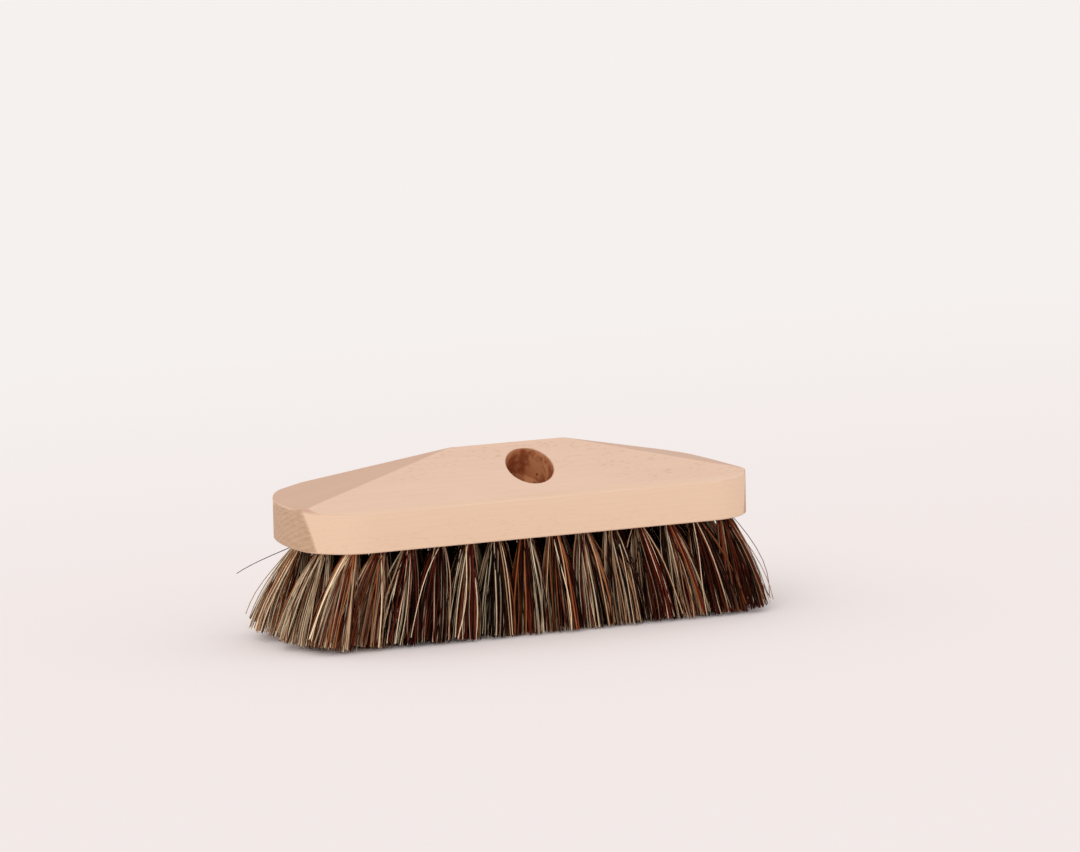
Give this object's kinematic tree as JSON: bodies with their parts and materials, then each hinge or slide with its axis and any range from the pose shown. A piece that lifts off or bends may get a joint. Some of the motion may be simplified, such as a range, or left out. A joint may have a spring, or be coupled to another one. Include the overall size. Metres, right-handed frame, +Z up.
{
  "type": "scrub brush",
  "caption": "Wooden scrub brush head with a slanted blind bore for a stick and staggered tufts of stiff mixed natural fibre.",
  "frame": {"origin": "on the floor that the bristle tips stand on, below the middle of the block", "axes": "+X along the block, -Y to the side with the stick bore, +Z up from the bristle tips to the ridge"},
  "size_m": [0.2508, 0.0852, 0.0875],
  "materials": {
    "beech": "sanded, no lacquer",
    "fibres": "stiff dry root and palm fibre, mixed straw to dark brown",
    "anchor_wire": "flat galvanised wire"
  },
  "bodies": {
    "root": {"block": "beech", "tuft_rank_01": "fibres", "tuft_rank_02": "fibres", "tuft_rank_03": "fibres", "tuft_rank_04": "fibres", "tuft_rank_05": "fibres", "tuft_rank_06": "fibres", "tuft_rank_07": "fibres", "tuft_rank_08": "fibres", "tuft_rank_09": "fibres", "tuft_rank_10": "fibres", "tuft_rank_11": "fibres", "tuft_rank_12": "fibres", "tuft_rank_13": "fibres", "tuft_rank_14": "fibres", "tuft_rank_15": "fibres", "tuft_rank_16": "fibres", "tuft_rank_17": "fibres", "tuft_rank_18": "fibres", "tuft_rank_19": "fibres", "tuft_rank_20": "fibres", "tuft_rank_21": "fibres", "tuft_rank_22": "fibres", "tuft_rank_23": "fibres", "tuft_rank_24": "fibres", "tuft_rank_25": "fibres", "tuft_rank_26": "fibres", "tuft_rank_27": "fibres", "tuft_rank_28": "fibres", "tuft_rank_29": "fibres", "anchors_row_1": "anchor_wire", "anchors_row_2": "anchor_wire", "anchors_row_3": "anchor_wire", "anchors_row_4": "anchor_wire", "anchors_row_5": "anchor_wire"}
  },
  "joints": []
}
